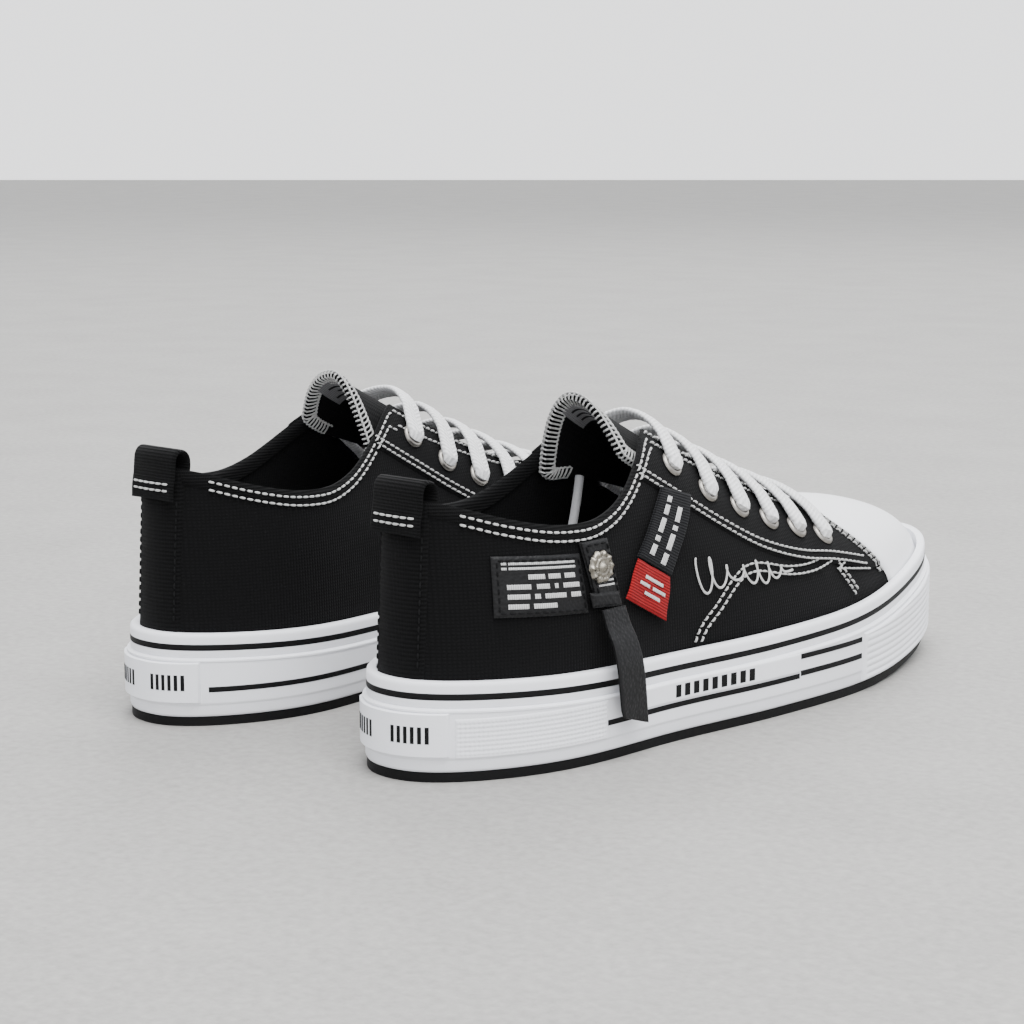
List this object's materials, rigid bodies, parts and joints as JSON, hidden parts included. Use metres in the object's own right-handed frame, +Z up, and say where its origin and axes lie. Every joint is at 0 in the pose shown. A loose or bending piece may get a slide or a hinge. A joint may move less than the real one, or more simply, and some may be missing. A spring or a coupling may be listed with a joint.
{
  "type": "pair of canvas sneakers",
  "caption": "Pair of low canvas sneakers with a thick white rubber sole, toe cap, laced throat, heel pull loop, and a hanging leather strap and cloth tags on the outer side.",
  "frame": {"origin": "on the ground at the centre of the pair's box", "axes": "+Z up; the toes point to -Y; the right shoe is on -X and the left shoe on +X"},
  "size_m": [0.203, 0.2888, 0.1099],
  "materials": {
    "black_rubber": "matt moulded rubber",
    "white_rubber": "satin moulded rubber",
    "board": "pressed fibre board",
    "grey_textile": "woven sock lining",
    "black_canvas": "plain weave cotton canvas",
    "white_cap": "smooth satin sheet",
    "black_binding": "ribbed binding tape",
    "black_webbing": "ribbed webbing",
    "nickel": "worn nickel plate",
    "white_lace": "braided flat lace",
    "grey_lace": "braided flat lace in shade",
    "black_leather": "pebbled leather",
    "old_silver": "antique silver",
    "charcoal_tape": "woven tape",
    "red_tape": "woven tape"
  },
  "bodies": {
    "right_shoe": {"right_outsole": "black_rubber", "right_midsole": "white_rubber", "right_foxing": "white_rubber", "right_rand": "white_rubber", "right_sole_stripes": "black_rubber", "right_side_panel": "white_rubber", "right_heel_label": "white_rubber", "right_toe_bumper": "white_rubber", "right_insole_board": "board", "right_sockliner": "grey_textile", "right_vamp": "black_canvas", "right_lateral_quarter": "black_canvas", "right_medial_quarter": "black_canvas", "right_toe_cap": "white_cap", "right_eyestays": "black_canvas", "right_collar_binding": "black_binding", "right_heel_counter": "board", "right_backstay": "black_webbing", "right_tongue": "black_canvas", "right_eyelets": "nickel", "right_lace": "white_lace", "right_side_patch": "black_leather", "right_strap_anchor": "black_leather", "right_badge": "old_silver", "right_lace_end": "grey_lace"},
    "right_pull_loop": {"right_pull_loop": "black_webbing"},
    "right_tongue_top": {"right_tongue_top": "black_canvas"},
    "right_strap_tail": {"right_strap_tail": "black_leather"},
    "right_black_tag": {"right_black_tag": "charcoal_tape"},
    "right_red_tag": {"right_red_tag": "red_tape"},
    "left_shoe": {"left_outsole": "black_rubber", "left_midsole": "white_rubber", "left_foxing": "white_rubber", "left_rand": "white_rubber", "left_sole_stripes": "black_rubber", "left_side_panel": "white_rubber", "left_heel_label": "white_rubber", "left_toe_bumper": "white_rubber", "left_insole_board": "board", "left_sockliner": "grey_textile", "left_vamp": "black_canvas", "left_lateral_quarter": "black_canvas", "left_medial_quarter": "black_canvas", "left_toe_cap": "white_cap", "left_eyestays": "black_canvas", "left_collar_binding": "black_binding", "left_heel_counter": "board", "left_backstay": "black_webbing", "left_tongue": "black_canvas", "left_eyelets": "nickel", "left_lace": "white_lace", "left_side_patch": "black_leather", "left_strap_anchor": "black_leather", "left_badge": "old_silver", "left_lace_end": "grey_lace"},
    "left_pull_loop": {"left_pull_loop": "black_webbing"},
    "left_tongue_top": {"left_tongue_top": "black_canvas"},
    "left_strap_tail": {"left_strap_tail": "black_leather"},
    "left_black_tag": {"left_black_tag": "charcoal_tape"},
    "left_red_tag": {"left_red_tag": "red_tape"}
  },
  "joints": [
    {"name": "left_shoe_lift", "type": "slide", "parent": "right_shoe", "child": "left_shoe", "axis": [0, 0, 1], "range_m": [0, 0.25]},
    {"name": "right_tongue_fold", "type": "hinge", "parent": "right_shoe", "child": "right_tongue_top", "pos_m": [-0.0523, 0.0364, 0.10083], "axis": [1, 0, 0], "range_deg": [0, 35], "stiffness_Nm_per_rad": 0.02},
    {"name": "right_pull_loop_bend", "type": "hinge", "parent": "right_shoe", "child": "right_pull_loop", "pos_m": [-0.0523, 0.1278, 0.0864], "axis": [1, 0, 0], "range_deg": [-20, 20], "stiffness_Nm_per_rad": 0.01},
    {"name": "right_strap_tail_swing", "type": "hinge", "parent": "right_shoe", "child": "right_strap_tail", "pos_m": [-0.0901, 0.0719, 0.047], "axis": [0, 1, 0], "range_deg": [0, 75]},
    {"name": "right_black_tag_swing", "type": "hinge", "parent": "right_shoe", "child": "right_black_tag", "pos_m": [-0.08141, 0.0395, 0.0806], "axis": [0.0471, 0.9579, 0.2833], "range_deg": [0, 60]},
    {"name": "right_red_tag_swing", "type": "hinge", "parent": "right_black_tag", "child": "right_red_tag", "pos_m": [-0.0872, 0.0586, 0.0607], "axis": [0.0899, 0.8746, 0.4765], "range_deg": [0, 45]},
    {"name": "left_tongue_fold", "type": "hinge", "parent": "left_shoe", "child": "left_tongue_top", "pos_m": [0.0523, 0.043, 0.10083], "axis": [1, 0, 0], "range_deg": [0, 35], "stiffness_Nm_per_rad": 0.02},
    {"name": "left_pull_loop_bend", "type": "hinge", "parent": "left_shoe", "child": "left_pull_loop", "pos_m": [0.0523, 0.1344, 0.0864], "axis": [1, 0, 0], "range_deg": [-20, 20], "stiffness_Nm_per_rad": 0.01},
    {"name": "left_strap_tail_swing", "type": "hinge", "parent": "left_shoe", "child": "left_strap_tail", "pos_m": [0.0901, 0.0785, 0.047], "axis": [0, -1, 0], "range_deg": [0, 75]},
    {"name": "left_black_tag_swing", "type": "hinge", "parent": "left_shoe", "child": "left_black_tag", "pos_m": [0.08141, 0.0461, 0.0806], "axis": [0.0471, -0.9579, -0.2833], "range_deg": [0, 60]},
    {"name": "left_red_tag_swing", "type": "hinge", "parent": "left_black_tag", "child": "left_red_tag", "pos_m": [0.0872, 0.0652, 0.0607], "axis": [0.0899, -0.8746, -0.4765], "range_deg": [0, 45]}
  ]
}
